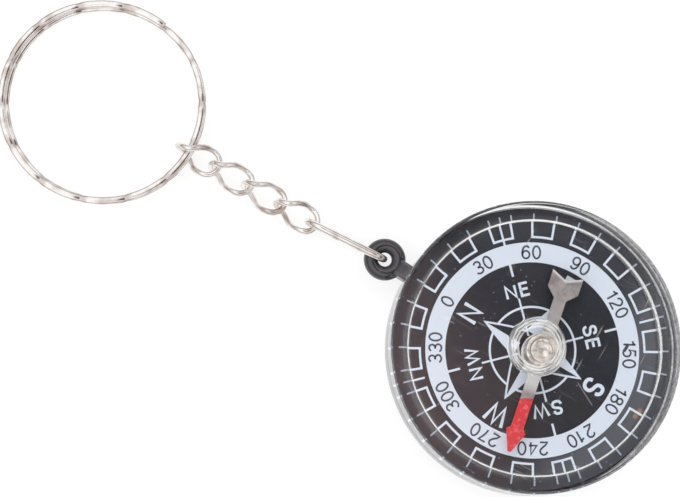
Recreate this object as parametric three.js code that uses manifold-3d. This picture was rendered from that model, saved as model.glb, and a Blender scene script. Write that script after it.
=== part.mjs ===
// Compass keychain lying on a table: a flat round case with a clear moulded cover and a black base,
// a magnetic needle turning on a pin over a printed card, and a short chain to a split key ring.
// Millimetres. The origin is the middle of the case's flat back, +Z points up out of the dial and
// +Y points along the chain, from the case to the key ring.
import * as THREE from "three";
import { mergeVertices } from "three/addons/utils/BufferGeometryUtils.js";
import Module from "manifold-3d";

// Case: the base carries the card, and the cover drops over both and ends in a thin skirt.
const caseRadius = 22.5;
const caseDraft = 0.15;
const wallThickness = 2.7;
const wallDraft = 0.15;
const windowThickness = 1.8;
const chamberHeight = 4.2;
const chamberRound = 0.4;
const edgeRound = 0.5;
const skirtThickness = 0.55;
const skirtLift = 1.0;
const baseThickness = 2.2;
const baseRound = 0.5;
const lipSetback = 0.2;
const cardThickness = 0.5;
const seatClearance = 0.3;
const caseSegments = 64;

// Raised boss in the middle of the cover, hollow underneath to keep the needle on its pin.
const bossWall = 0.45;
const bossRoof = 1.05;
const bossRound = 0.35;
const capSideClearance = 0.3;
const capLiftClearance = 0.35;

// Pin, needle blade and needle cap. The pin stands a little off the middle, away from the chain,
// and the blade is punched a little off its own middle line.
const pivotOffset = 1.0;
const pinRadius = 0.5;
const pinSeatThickness = 0.8;
const pressClearance = 0.02;
const postWall = 1.1;
const postHeight = 1.4;
const postBevel = 0.2;
const needleHeight = 1.9;
const needleBearing = 259.4;
const bladeAside = 0.5;
const bladeThickness = 0.4;
const shaftWidth = 1.95;
const tipWallClearance = 3.8;
const tipWidth = 0.5;
const headWidth = 3.1;
const headLength = 3.3;
const headShoulder = 0.6;
const hubRadius = 3.2;
const tailShortfall = 3.1;
const fletchWidth = 4.95;
const fletchLength = 2.7;
const fletchShoulder = 1.45;
const notchDepth = 1.1;
const notchRound = 0.4;
const notchSteps = 4;
const capRadius = 2.55;
const capHeight = 3.2;
const capRound = 0.3;
const capRimWidth = 0.55;
const capRimFall = 0.2;
const capDishRadius = 1.1;
const capDishDepth = 0.2;
const capNeckRadius = 1.5;
const capClinchWidth = 0.5;
const capClinchHeight = 0.4;
const bearingClearance = 0.4;
const bearingRise = 1.9;
const bearingConeHeight = 0.7;
const bearingGap = 0.3;
const hubSteps = 14;

// Eyelet on the base, with its hole upright, a little round from the card's north.
const eyeletBearing = THREE.MathUtils.degToRad(1.75);
const eyeletTubeRadius = 1.1;
const eyeletHolePlay = 0.45;
const stemLength = 0.7;
const stemWidth = 2.6;
const stemHeight = 3.0;
const stemRound = 0.5;
const chainHeight = 2.7;

// Long link between the eyelet and the chain, standing on edge.
const connectorWire = 1.2;
const connectorLength = 14.2;
const connectorLean = THREE.MathUtils.degToRad(9.4);
const runningClearance = 0.3;

// Curb chain: each link is an oval of wire that leans a little and ends in a hook, a quarter turn on.
const linkWire = 0.95;
const linkLength = 8.0;
const linkCount = 4;
const linkGap = 0.3;
const linkTwist = Math.PI / 2;
const linkLean = THREE.MathUtils.degToRad(12);
const twistStart = -0.62;
const twistEnd = 0.72;

// Split key ring: flat wire wound nearly two turns, which lie a little off each other's middle.
// The lower turn is a little tighter.
const ringRadius = 15.9;
const ringBand = 1.15;
const ringTurnThickness = 0.65;
const ringTurnGap = 0.45;
const ringTurnShift = 0.45;
const ringTurnTightening = 0.25;
const ringShiftAngle = THREE.MathUtils.degToRad(-75);
const ringSideBevel = 0.32;
const ringEdgeBevel = 0.18;
const ringStepAngle = THREE.MathUtils.degToRad(26);
const ringEndAngle = THREE.MathUtils.degToRad(4);
const ringStartAngle = THREE.MathUtils.degToRad(-39);
const ringNotches = 14;
const ringNotchDepth = 0.16;
const ringNotchHalfAngle = THREE.MathUtils.degToRad(4);
const ringNotchPhase = THREE.MathUtils.degToRad(20.5);
const ringDrop = 0.15;
const ringSlack = 0.1;
const floorClearance = 0.05;

// Heights and radii that follow from the sizes above.
const cardTop = baseThickness + cardThickness;
const ceiling = cardTop + chamberHeight;
const coverTop = ceiling + windowThickness;
const chamberRadius = caseRadius - wallThickness;
const skirtFootRadius = caseRadius - caseDraft;
const skirtInnerRadius = skirtFootRadius - skirtThickness + caseDraft;
const baseRadius = skirtInnerRadius - seatClearance;
const lipRadius = skirtFootRadius - lipSetback;
const lipTop = skirtLift - seatClearance;
const cardRadius = baseRadius;
const postRadius = pinRadius + postWall;
const postTop = baseThickness + postHeight;
const bladeBottom = cardTop + needleHeight;
const bladeTop = bladeBottom + bladeThickness;
const capTop = bladeTop + capHeight;
const bearingTop = bladeTop + bearingRise;
const bearingRadius = pinRadius + bearingClearance;
const pinTip = bearingTop - bearingGap;
const bossBore = capRadius + pivotOffset + capSideClearance;
const bossRadius = bossBore + bossWall;
const bossCeiling = capTop + capLiftClearance;
const bossTop = bossCeiling + bossRoof;
const tipReach = chamberRadius - tipWallClearance;
const tailReach = tipReach - tailShortfall;
const eyeletHole = connectorWire / 2 + eyeletHolePlay;
const eyeletRadius = eyeletHole + eyeletTubeRadius;
const eyeletReach = caseRadius + stemLength + eyeletHole + 2 * eyeletTubeRadius;
const eyeletX = eyeletReach * Math.sin(eyeletBearing);
const eyeletY = eyeletReach * Math.cos(eyeletBearing);
const connectorBend = eyeletTubeRadius + runningClearance + connectorWire / 2;
const connectorStraight = connectorLength / 2 - connectorBend - connectorWire / 2;
const connectorCentre = eyeletRadius + connectorStraight;
const connectorEnd = connectorCentre + connectorLength / 2 - connectorWire;
const connectorSpan = connectorEnd - linkGap - linkWire / 2;
const connectorSwing = Math.asin(eyeletX / connectorSpan);
const firstHookY = eyeletY + connectorSpan * Math.cos(connectorSwing);
const ringHeight = 2 * ringTurnThickness + ringTurnGap;
const ringHalfDiagonal = Math.hypot(ringBand + ringTurnShift, ringHeight) / 2;
const linkInnerRadius = ringHalfDiagonal + runningClearance;
const linkBend = linkInnerRadius + linkWire / 2;
const linkStraight = linkLength / 2 - linkBend - linkWire / 2;
const linkPitch = linkLength - 2 * linkWire - linkGap;
const firstLinkY = firstHookY - linkWire / 2 + linkLength / 2;
const lastLinkEnd = firstLinkY + (linkCount - 1) * linkPitch + linkLength / 2;
const ringMidRadius = ringRadius - ringBand / 2;
const ringNearY = lastLinkEnd - linkWire - linkInnerRadius - ringSlack;
const ringNearZ = chainHeight - ringDrop;
const ringTilt = Math.asin((ringNearZ - ringHeight / 2 - floorClearance) / (2 * ringMidRadius));

const wasm = await Module();
wasm.setup();

function solidOf(geometry) {
  const bare = new THREE.BufferGeometry();
  const plain = geometry.index ? geometry.toNonIndexed() : geometry;
  bare.setAttribute("position", plain.getAttribute("position"));
  const merged = mergeVertices(bare, 1e-3);
  const mesh = new wasm.Mesh({
    numProp: 3,
    vertProperties: merged.attributes.position.array,
    triVerts: new Uint32Array(merged.index.array),
  });
  return new wasm.Manifold(mesh);
}

function geometryOf(solid) {
  const mesh = solid.getMesh();
  const points = new Float32Array(mesh.numVert * 3);
  for (let i = 0; i < mesh.numVert; i++) {
    const from = i * mesh.numProp;
    points.set(mesh.vertProperties.subarray(from, from + 3), i * 3);
  }
  const geometry = new THREE.BufferGeometry();
  geometry.setAttribute("position", new THREE.BufferAttribute(points, 3));
  geometry.setIndex(new THREE.BufferAttribute(mesh.triVerts, 1));
  return geometry;
}

// Points of a round corner from angle a to angle b, in degrees, in a profile of radius and height.
function corner(r, z, size, a, b, steps = 4) {
  const points = [];
  for (let i = 0; i <= steps; i++) {
    const angle = THREE.MathUtils.degToRad(a + ((b - a) * i) / steps);
    points.push([r + size * Math.cos(angle), z + size * Math.sin(angle)]);
  }
  return points;
}

// A body of revolution about Z from a profile of [radius, height] points.
function turned(profile, segments) {
  const points = profile.map(([r, z]) => new THREE.Vector2(r, z));
  const geometry = new THREE.LatheGeometry(points, segments);
  geometry.rotateX(Math.PI / 2);
  return geometry;
}

// A closed wire path: two straights joined by half circles, standing or lying by its roll angle.
class WireLoop extends THREE.Curve {
  constructor(centre, straight, bend, startRoll, endRoll) {
    super();
    this.centre = centre;
    this.straight = straight;
    this.bend = bend;
    this.startRoll = startRoll;
    this.endRoll = endRoll;
  }

  getPoint(t, target = new THREE.Vector3()) {
    const arc = Math.PI * this.bend;
    const side = 2 * this.straight;
    const along = t * 2 * (arc + side);
    let across = 0;
    let length = 0;
    if (along < side) {
      across = this.bend;
      length = along - this.straight;
    } else if (along < side + arc) {
      const angle = (along - side) / this.bend;
      across = this.bend * Math.cos(angle);
      length = this.straight + this.bend * Math.sin(angle);
    } else if (along < 2 * side + arc) {
      across = -this.bend;
      length = this.straight - (along - side - arc);
    } else {
      const angle = (along - 2 * side - arc) / this.bend;
      across = -this.bend * Math.cos(angle);
      length = -this.straight - this.bend * Math.sin(angle);
    }
    const reach = this.straight + this.bend;
    const share = THREE.MathUtils.smoothstep(length, twistStart * reach, twistEnd * reach);
    const roll = this.startRoll + (this.endRoll - this.startRoll) * share;
    target.set(across * Math.cos(roll), length, across * Math.sin(roll));
    return target.add(this.centre);
  }
}

function makeBase() {
  const pinHole = pinRadius + pressClearance;
  const disc = turned(
    [
      [0, 0],
      ...corner(lipRadius - baseRound, baseRound, baseRound, -90, 0),
      [lipRadius, lipTop],
      [baseRadius, lipTop],
      [baseRadius, baseThickness],
      [0, baseThickness],
    ],
    caseSegments,
  );
  const post = turned(
    [
      [0, pinSeatThickness],
      [postRadius, pinSeatThickness],
      [postRadius, postTop - postBevel],
      [postRadius - postBevel, postTop],
      [0, postTop],
    ],
    32,
  );
  post.translate(0, -pivotOffset, 0);
  const bore = wasm.Manifold.cylinder(postTop, pinHole, pinHole, 20).translate(0, -pivotOffset, pinSeatThickness);
  const half = stemWidth / 2;
  const low = skirtLift;
  const high = skirtLift + stemHeight;
  const section = new THREE.Shape();
  section.moveTo(-half + stemRound, -low);
  section.lineTo(half - stemRound, -low);
  section.absarc(half - stemRound, -low - stemRound, stemRound, Math.PI / 2, 0, true);
  section.absarc(half - stemRound, -high + stemRound, stemRound, 0, -Math.PI / 2, true);
  section.absarc(-half + stemRound, -high + stemRound, stemRound, -Math.PI / 2, -Math.PI, true);
  section.absarc(-half + stemRound, -low - stemRound, stemRound, Math.PI, Math.PI / 2, true);
  const root = baseRadius - 2;
  const stem = new THREE.ExtrudeGeometry(section, {
    depth: eyeletReach - eyeletRadius - root,
    bevelEnabled: false,
    curveSegments: 4,
  });
  stem.rotateX(-Math.PI / 2);
  stem.translate(0, root, 0);
  stem.rotateZ(-eyeletBearing);
  const eyelet = new THREE.TorusGeometry(eyeletRadius, eyeletTubeRadius, 14, 36);
  eyelet.translate(eyeletX, eyeletY, chainHeight);
  const cardSpace = wasm.Manifold.cylinder(
    coverTop,
    cardRadius + seatClearance,
    cardRadius + seatClearance,
    caseSegments,
  ).translate(0, 0, baseThickness);
  const arm = solidOf(stem).subtract(cardSpace);
  const hole = wasm.Manifold.cylinder(coverTop, eyeletHole, eyeletHole, 36).translate(eyeletX, eyeletY, 0);
  const plate = solidOf(disc).add(solidOf(post)).subtract(bore);
  return geometryOf(plate.add(arm.subtract(hole)).add(solidOf(eyelet)));
}

function makeCard() {
  const hole = postRadius + pivotOffset + seatClearance;
  return turned(
    [
      [hole, baseThickness],
      [cardRadius, baseThickness],
      [cardRadius, cardTop],
      [hole, cardTop],
      [hole, baseThickness],
    ],
    caseSegments,
  );
}

function makeCover() {
  const shell = turned(
    [
      [0, bossCeiling],
      [bossBore - bossRound, bossCeiling],
      [bossBore, bossCeiling - bossRound],
      [bossBore, ceiling],
      ...corner(chamberRadius - chamberRound, ceiling - chamberRound, chamberRound, 90, 0, 3),
      [chamberRadius + wallDraft, cardTop],
      [skirtInnerRadius, cardTop],
      [skirtInnerRadius, skirtLift],
      [skirtFootRadius, skirtLift],
      ...corner(caseRadius - edgeRound, coverTop - edgeRound, edgeRound, 0, 90),
      [bossRadius + bossRound, coverTop],
      [bossRadius, coverTop + bossRound / 2],
      ...corner(bossRadius - bossRound, bossTop - bossRound, bossRound, 0, 90, 3),
      [0, bossTop],
    ],
    caseSegments,
  );
  const width = stemWidth + 2 * seatClearance;
  const depth = 2 * skirtThickness + wallThickness;
  const slot = wasm.Manifold.cube([width, depth, stemHeight + seatClearance + skirtLift])
    .translate(-width / 2, cardRadius + seatClearance / 2, 0)
    .rotate(0, 0, -THREE.MathUtils.radToDeg(eyeletBearing));
  return geometryOf(solidOf(shell).subtract(slot));
}

function makePin() {
  const foot = pinSeatThickness + pressClearance;
  const coneBase = pinTip - bearingConeHeight;
  const pin = turned(
    [
      [0, foot],
      [pinRadius, foot],
      [pinRadius, coneBase],
      [pinRadius * 0.2, pinTip - 0.05],
      [0, pinTip],
    ],
    20,
  );
  pin.translate(0, -pivotOffset, 0);
  return pin;
}

function makeBlade() {
  const head = tipReach - headLength;
  const fletch = tailReach - fletchLength;
  const neck = Math.asin(shaftWidth / 2 / hubRadius);
  const hub = [];
  for (let i = 0; i <= hubSteps; i++) {
    const angle = neck + ((Math.PI - 2 * neck) * i) / hubSteps;
    hub.push([hubRadius * Math.sin(angle), hubRadius * Math.cos(angle)]);
  }
  const side = [
    [tipWidth / 2, tipReach],
    [headWidth / 2, head],
    [shaftWidth / 2, head - headShoulder],
    ...hub,
    [shaftWidth / 2, -fletch + fletchShoulder],
    [fletchWidth / 2, -fletch],
    [fletchWidth / 2, -tailReach],
  ];
  const slope = notchDepth / (fletchWidth / 2);
  for (let i = notchSteps; i > 0; i--) {
    const across = (notchRound * i) / notchSteps;
    const fill = (slope * (notchRound - across) ** 2) / (2 * notchRound);
    side.push([across, -tailReach + notchDepth - slope * across - fill]);
  }
  const outline = [...side, [0, -tailReach + notchDepth - (slope * notchRound) / 2]];
  for (const [across, along] of [...side].reverse()) outline.push([-across, along]);
  const shape = new THREE.Shape(outline.map(([x, y]) => new THREE.Vector2(x - bladeAside, y)).reverse());
  const hole = new THREE.Path();
  hole.absarc(0, 0, capNeckRadius + pressClearance, 0, 2 * Math.PI, true);
  shape.holes.push(hole);
  const blade = new THREE.ExtrudeGeometry(shape, {
    depth: bladeThickness,
    bevelEnabled: false,
    curveSegments: 16,
  });
  blade.rotateZ(-THREE.MathUtils.degToRad(needleBearing));
  blade.translate(0, -pivotOffset, bladeBottom);
  return blade;
}

function makeCap() {
  const clinchTop = bladeBottom - pressClearance;
  const clinchBottom = clinchTop - capClinchHeight;
  const clinchRadius = capNeckRadius + capClinchWidth;
  const headBottom = bladeTop + pressClearance;
  const cap = turned(
    [
      [0, bearingTop],
      [bearingRadius, bearingTop - bearingConeHeight],
      [bearingRadius, clinchBottom],
      [clinchRadius, clinchBottom],
      [clinchRadius, clinchTop],
      [capNeckRadius, clinchTop],
      [capNeckRadius, headBottom],
      [capRadius, headBottom],
      ...corner(capRadius - capRound, capTop - capRound, capRound, 0, 90, 3),
      [capRadius - capRimWidth, capTop],
      [capRadius - capRimWidth - capRimFall, capTop - capRimFall],
      [capDishRadius, capTop - capRimFall],
      [0, capTop - capRimFall - capDishDepth],
    ],
    32,
  );
  cap.translate(0, -pivotOffset, 0);
  return cap;
}

function makeConnector() {
  const centre = new THREE.Vector3(0, connectorCentre, chainHeight);
  const roll = linkTwist + connectorLean;
  const path = new WireLoop(centre, connectorStraight, connectorBend, roll, roll);
  const wire = new THREE.TubeGeometry(path, 64, connectorWire / 2, 10, true);
  wire.rotateZ(connectorSwing);
  wire.translate(eyeletX, eyeletY, 0);
  return wire;
}

function makeLink(place) {
  const centre = new THREE.Vector3(0, firstLinkY + place * linkPitch, chainHeight);
  const lean = place + 1 < linkCount ? linkLean : 0;
  const path = new WireLoop(centre, linkStraight, linkBend, -lean, linkTwist - lean);
  return new THREE.TubeGeometry(path, 52, linkWire / 2, 8, true);
}

// How far the stamped notches draw the ring's wire in at a turning angle.
function notchAt(angle) {
  const pitch = (2 * Math.PI) / ringNotches;
  const past = THREE.MathUtils.euclideanModulo(angle - ringNotchPhase + pitch / 2, pitch);
  const offset = Math.abs(past - pitch / 2);
  return ringNotchDepth * Math.max(0, 1 - offset / ringNotchHalfAngle);
}

function makeKeyRing() {
  const rise = ringTurnThickness + ringTurnGap;
  const sweep = 4 * Math.PI - ringStepAngle - ringEndAngle;
  const stops = [0, 2 * Math.PI - ringStepAngle, 2 * Math.PI, sweep];
  for (let i = 1; i < 8; i++) stops.push(2 * Math.PI - ringStepAngle * (1 - i / 8));
  for (let angle = 0.2; angle < sweep; angle += 0.2) stops.push(angle);
  const pitch = (2 * Math.PI) / ringNotches;
  for (let k = 0; k * pitch < sweep; k++) {
    for (const side of [-1, 0, 1]) stops.push(k * pitch + ringNotchPhase + side * ringNotchHalfAngle);
  }
  stops.sort((a, b) => a - b);
  const angles = stops.filter((a, i) => a >= 0 && a <= sweep && (i === 0 || a - stops[i - 1] > 0.02));
  const half = ringTurnThickness / 2;
  const sections = angles.map((angle) => {
    const step = THREE.MathUtils.smoothstep(angle, 2 * Math.PI - ringStepAngle, 2 * Math.PI);
    const z = rise * (step - 0.5);
    const draw = notchAt(angle);
    const rim = ringRadius - ringTurnTightening * (1 - step);
    const outer = rim - draw;
    const inner = rim - ringBand + draw;
    const turn = ringStartAngle - angle;
    const aside = ringTurnShift * (0.5 - step);
    const x = aside * Math.cos(ringShiftAngle);
    const y = aside * Math.sin(ringShiftAngle);
    const around = [
      [outer, z - half + ringEdgeBevel],
      [outer, z + half - ringEdgeBevel],
      [outer - ringSideBevel, z + half],
      [inner + ringSideBevel, z + half],
      [inner, z + half - ringEdgeBevel],
      [inner, z - half + ringEdgeBevel],
      [inner + ringSideBevel, z - half],
      [outer - ringSideBevel, z - half],
    ];
    return around.map(([r, h]) => new THREE.Vector3(x + r * Math.cos(turn), y + r * Math.sin(turn), h));
  });
  const count = sections[0].length;
  const points = sections.flat();
  const faces = [];
  for (let i = 0; i + 1 < sections.length; i++) {
    for (let k = 0; k < count; k++) {
      const a = i * count + k;
      const b = i * count + ((k + 1) % count);
      faces.push(a, b, a + count, b, b + count, a + count);
    }
  }
  const last = (sections.length - 1) * count;
  for (let k = 1; k + 1 < count; k++) {
    faces.push(0, k + 1, k);
    faces.push(last, last + k, last + k + 1);
  }
  let least = Infinity;
  for (let i = 0; i < sections.length; i++) {
    for (let j = i + 1; j < sections.length; j++) {
      if (angles[j] - angles[i] < Math.PI) continue;
      for (const p of sections[i]) {
        for (const q of sections[j]) least = Math.min(least, p.distanceTo(q));
      }
    }
  }
  console.log("key ring: least gap between its turns " + least.toFixed(2) + " mm");
  const geometry = new THREE.BufferGeometry().setFromPoints(points);
  geometry.setIndex(faces);
  geometry.translate(0, ringMidRadius, 0);
  geometry.rotateX(-ringTilt);
  geometry.translate(0, ringNearY, ringNearZ);
  return geometry;
}

const keychain = new THREE.Group();
keychain.name = "compass_keychain";

function add(name, geometry, colour, roughness, metalness, opacity = 1) {
  const material = new THREE.MeshStandardMaterial({
    color: colour,
    roughness: roughness,
    metalness: metalness,
    opacity: opacity,
    transparent: opacity < 1,
  });
  const mesh = new THREE.Mesh(geometry, material);
  mesh.name = name;
  keychain.add(mesh);
}

add("case_base", makeBase(), 0x1c1c1f, 0.45, 0);
add("dial_card", makeCard(), 0x2a292c, 0.35, 0);
add("clear_cover", makeCover(), 0xf4f7fa, 0.08, 0, 0.3);
add("pivot_pin", makePin(), 0xb7a46a, 0.35, 1);
add("needle_blade", makeBlade(), 0xa8a29c, 0.4, 1);
add("needle_cap", makeCap(), 0xc9c3bb, 0.35, 1);
add("connector_link", makeConnector(), 0xd8d6d2, 0.18, 1);
for (let i = 0; i < linkCount; i++) {
  add("chain_link_" + (i + 1), makeLink(i), 0xd8d6d2, 0.18, 1);
}
add("key_ring", makeKeyRing(), 0xd4d0ca, 0.18, 1);

export default keychain;
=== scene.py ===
import math

import bmesh
import bpy
from mathutils import Matrix, Vector


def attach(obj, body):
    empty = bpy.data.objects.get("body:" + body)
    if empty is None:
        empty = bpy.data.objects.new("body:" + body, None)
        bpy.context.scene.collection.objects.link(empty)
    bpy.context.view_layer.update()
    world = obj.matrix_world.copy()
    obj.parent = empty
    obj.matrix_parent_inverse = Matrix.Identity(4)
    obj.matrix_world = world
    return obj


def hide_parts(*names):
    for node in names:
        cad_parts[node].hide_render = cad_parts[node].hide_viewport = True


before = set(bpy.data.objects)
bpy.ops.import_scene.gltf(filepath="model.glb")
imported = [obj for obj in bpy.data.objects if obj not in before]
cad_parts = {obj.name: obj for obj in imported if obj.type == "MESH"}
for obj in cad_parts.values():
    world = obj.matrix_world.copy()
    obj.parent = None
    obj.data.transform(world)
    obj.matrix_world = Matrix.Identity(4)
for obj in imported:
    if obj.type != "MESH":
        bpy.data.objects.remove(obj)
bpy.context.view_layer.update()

# Sizes are in millimetres and bearings run clockwise from the card's north.
MM = 0.001
QUARTER = math.pi / 2
SHARP_ANGLE = 35

PIVOT = (0, -1.0, 0)
NEEDLE_BEARING = math.radians(259.4)
BLADE_ASIDE = 0.5
BLADE_EDGE_WEAR = 0.09
PAINT_STARTS = 7.4
CAP_GROOVE = 1.86
CAP_RING_PITCH = 0.22
PIN_RING_PITCH = 0.15

COVER_TOP = 8.7
COVER_CEILING = 6.9
BOSS_TOP = 9.6
BOSS_HOLLOW = 8.55
BOSS_RING_PITCH = 0.46
SKIRT_INSIDE = 21.95
SKIRT_FOOT = 1.0
STEM_SLOT = (3.2, 3.8, 6.0)
STEM_SLOT_MIDDLE = (0, 23.7, 1.3)
# The side on which the cover's rim is worn and light is painted: a reflection on the card's outer band and
# shade at the skirt's foot.
WEAR_AND_PAINTED_LIGHT_WAY = (0.489, -0.863)

BASE_TOP = 2.2
LIP_TOP = 0.7
SEAT_RADIUS = 21.65
PIN_HOLE = 0.52
POST_FOOT, POST_TOP, POST_RADIUS, POST_CHAMFER = 0.8, 3.6, 1.6, 0.2
STEM_RUN = (21.97, 24.3)
STEM_CORNERS = ((0.8, 3.5), (-0.8, 3.5), (-0.8, 1.5), (0.8, 1.5))
STEM_ROUNDING = 0.5
STEM_FOOT = (2.6, 2.6, 1.2)
STEM_FOOT_MIDDLE = (0, 20.9, 1.6)
EYELET_BEARING = math.radians(1.75)
EYELET_REACH = 26.45
EYELET_RADIUS = 2.15
EYELET_WIRE = 1.1
EYELET_ROWS, EYELET_SIDES = 120, 40

CARD_TOP = 2.7
PRINT_EDGE = 21.0
PRINT = CARD_TOP + 0.002
# Print that crosses other print is laid a little thicker, which keeps their top faces apart.
INK = 0.02
LINE = 0.35
LINE_UNDER_WALL = 0.7 * LINE
NUMBER_RING = (13.6, 16.7)
CASTLE_RING = 17.36
CASTLE_SPAN = (-0.5, 10.5)
CLEAR_WALL = 19.85
DIAGONALS = (45, 135, 225, 315)
DIAGONAL_STARTS = (NUMBER_RING[1] - 0.1, CASTLE_RING, CASTLE_RING + 0.1, CASTLE_RING)
DIAGONAL_LINE = 0.9 * LINE
DIAGONAL_TICK = (NUMBER_RING[0] - 1.9, NUMBER_RING[0] + 0.1)
ROSE_CIRCLE = 6.68
ROSE_LINE = 0.34
ROSE_GAP = 7.0
ROSE_DIAGONAL = (2.3, 8.2)
ROSE_DIAGONAL_LINE = 0.3
STAR_TIP = 8.85
STAR_PULL = (1.85, 4.5)
STAR_ROOT = (2.25, 2.25)
STAR_EDGE = 0.3
STAR_HEART = 2.2
PRINT_TURN = math.radians(0.7)
PRINT_OFF_MIDDLE = (0.12, -0.24, 0)
# Each sign's bearing and its distance from the middle of the print.
MAIN_LETTERS = (("N", -0.5, 11.2), ("E", 90.0, 11.1), ("S", 180.4, 11.05), ("W", 269.4, 11.5))
MAIN_SIZE, MAIN_STROKE = 3.5, 0.56
CORNER_LETTERS = (("NE", 45.5), ("SE", 136.7), ("SW", 226.0), ("NW", 316.3))
CORNER_LETTERS_OUT = 9.45
CORNER_SIZE, CORNER_STROKE, CORNER_STRETCH, CORNER_SPACING = 2.3, 0.40, 1.18, 0.45
NUMBER_SLIPS = (-1.1, -0.6, -0.7, -0.3, 0.8, 1.2, 0.0, 0.3, 0.0, -0.4, 1.1, 0.5)
NUMBER_SIZE, NUMBER_STROKE, NUMBER_STRETCH = 2.2, 0.29, 1.11
INK_SMEAR = ((145.4, 15.0), (147.4, 14.75), (149.9, 14.3))
INK_SMEAR_WIDTH = 0.5
SCRAPE_START = (-0.73, -8.8)
SCRAPE_WAY = (-0.466, -0.885)
RUST_SPOTS = ((0.35, -19.35), (-0.75, -19.1))

CHAIN_HEIGHT = 2.7
WIRE_ROWS, WIRE_SIDES = 168, 24
CONNECTOR_MIDDLE = (0.351566, 33.071999, CHAIN_HEIGHT)
CONNECTOR_SLANT = math.radians(3.933476)
CONNECTOR_LEAN = math.radians(9.4)
CONNECTOR_STRAIGHT, CONNECTOR_BEND, CONNECTOR_WIRE = 4.5, 2.0, 0.6
FIRST_LINK, LINK_PITCH = 41.709926, 5.8
LINK_LEAN = math.radians(12)
LINK_STRAIGHT, LINK_BEND, LINK_WIRE = 1.564409, 1.960591, 0.475
LINK_TWIST_RUN = (-0.62, 0.72)

RING_MIDDLE = 75.878
RING_NEAR = (0, 60.574335, 2.55)
RING_RADIUS = 15.325
RING_TILT = math.asin(1.625 / 30.65)
RING_TIGHTENING = 0.25
RING_SHIFT, RING_SHIFT_WAY = 0.45, math.radians(-75)
RING_RISE = 1.1
RING_WIDE, RING_HIGH = 0.57, 0.322
RING_SIDE_CROWN, RING_TOP_CROWN = 0.82, 0.92
RING_STEP, RING_TAIL, RING_START, RING_PHASE = (math.radians(v) for v in (26, 4, -39, 20.5))
RING_NOTCHES = 14
RING_FIRST_NOTCH = -59.5 / 360 * RING_NOTCHES
NOTCH_HALF = math.radians(4.4)
NOTCH_NIP, NOTCH_DIP, NOTCH_POINT = 0.13, 0.12, 1.6
RING_ROWS, RING_SIDES = 980, 28

# The camera and the softboxes are placed in metres. The edges of the patches overhead are in degrees.
CAMERA_SENSOR, CAMERA_LENS = 36, 189.265
CAMERA_SPOT = (-0.091144, 0.060130, 0.543561)
CAMERA_RIGHT = (0.489432, -0.863142, 0.124270)
CAMERA_UP = (0.856511, 0.502584, 0.117468)
CAMERA_BACK = (-0.163847, 0.048946, 0.985271)
TABLE_REACH, TABLE_SUNK = 3, -0.00002
TABLE_SHADE, SHADOW_SHARE = 0.8, 0.22
PANEL_WAY, PANEL_EDGE, PANEL_SHADE = (0.166, -0.26, 0.951), (19, 13), 0.03
WARM_WAY, WARM_EDGE, WARM_SHADE = (0.100, -0.060, 0.993), (5.2, 1.8), (0.74, 0.44, 0.42, 1)
SKY_STRENGTH = 1.12
LIGHT_AIM = (0, 0.03, 0)
SOFTBOXES = (
    ("left_softbox", (-0.45, 0.35, 0.60), 0.80, 3.1),
    ("far_softbox", (0.50, 0.25, 0.45), 0.70, 2.2),
)

# Colours of the finishes.
PLATE_BRIGHT = (0.91, 0.88, 0.86, 1)
PLATE_TARNISH = (0.66, 0.58, 0.54, 1)
# Painted shade in the stamped notches of the key ring.
NOTCH_PAINTED_SHADE = (0.50, 0.43, 0.41, 1)
MOULDING_BLACK = (0.021, 0.020, 0.026, 1)
# Lighter black for scuffs, and for a painted sheen along the stem.
MOULDING_SCUFF_AND_SHEEN = (0.060, 0.057, 0.067, 1)
CARD_BROWN_BLACK = (0.020, 0.018, 0.022, 1)
CARD_BLUE_BLACK = (0.010, 0.011, 0.018, 1)
CARD_GRAIN = (0.027, 0.028, 0.035, 1)
# Lighter ink of the card's outer band, partly a painted reflection.
CARD_OUTER_INK_AND_REFLECTION = (0.026, 0.027, 0.035, 1)
# Painted reflection on the outer band towards the south edge.
CARD_PAINTED_REFLECTION = (0.095, 0.097, 0.112, 1)
CARD_RUBBED = (0.11, 0.11, 0.125, 1)
CARD_SCRAPED = (0.19, 0.18, 0.20, 1)
CARD_RUST = (0.33, 0.19, 0.10, 1)
CARD_DUST = (0.34, 0.35, 0.38, 1)
PALE_INK = (0.70, 0.75, 0.83, 1)
PALE_INK_WORN = (0.62, 0.67, 0.76, 1)
# Darker pale ink: painted shade under the cover's wall.
PALE_INK_PAINTED_SHADE = (0.38, 0.42, 0.50, 1)
SLATE_INK = (0.045, 0.05, 0.07, 1)
SLATE_INK_WORN_AND_SHADED = (0.08, 0.085, 0.11, 1)
CLEAR_PLASTIC = (0.985, 0.99, 0.995, 1)
CLEAR_SHADE = (0.93, 0.94, 0.95, 1)
CLEAR_FROSTED = (0.90, 0.89, 0.88, 1)
# Painted shade at the foot of the cover's skirt.
CLEAR_FOOT_SHADE = (0.20, 0.19, 0.21, 1)
STEEL_DARK = (0.38, 0.34, 0.33, 1)
STEEL_LIGHT = (0.58, 0.53, 0.52, 1)
STEEL_PITTED = (0.33, 0.29, 0.28, 1)
# Polished steel, also used as a painted highlight on the needle.
STEEL_POLISH_AND_HIGHLIGHT = (0.97, 0.955, 0.935, 1)
RED_PAINT = (0.64, 0.028, 0.038, 1)
RED_PAINT_THIN = (0.82, 0.12, 0.13, 1)
ALUMINIUM = (0.90, 0.84, 0.79, 1)
# Stained aluminium, also used as painted shade in the cap's groove.
ALUMINIUM_STAIN_AND_SHADE = (0.42, 0.36, 0.32, 1)
BRASS = (0.72, 0.58, 0.30, 1)
BRASS_STAINED = (0.60, 0.46, 0.22, 1)


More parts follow.
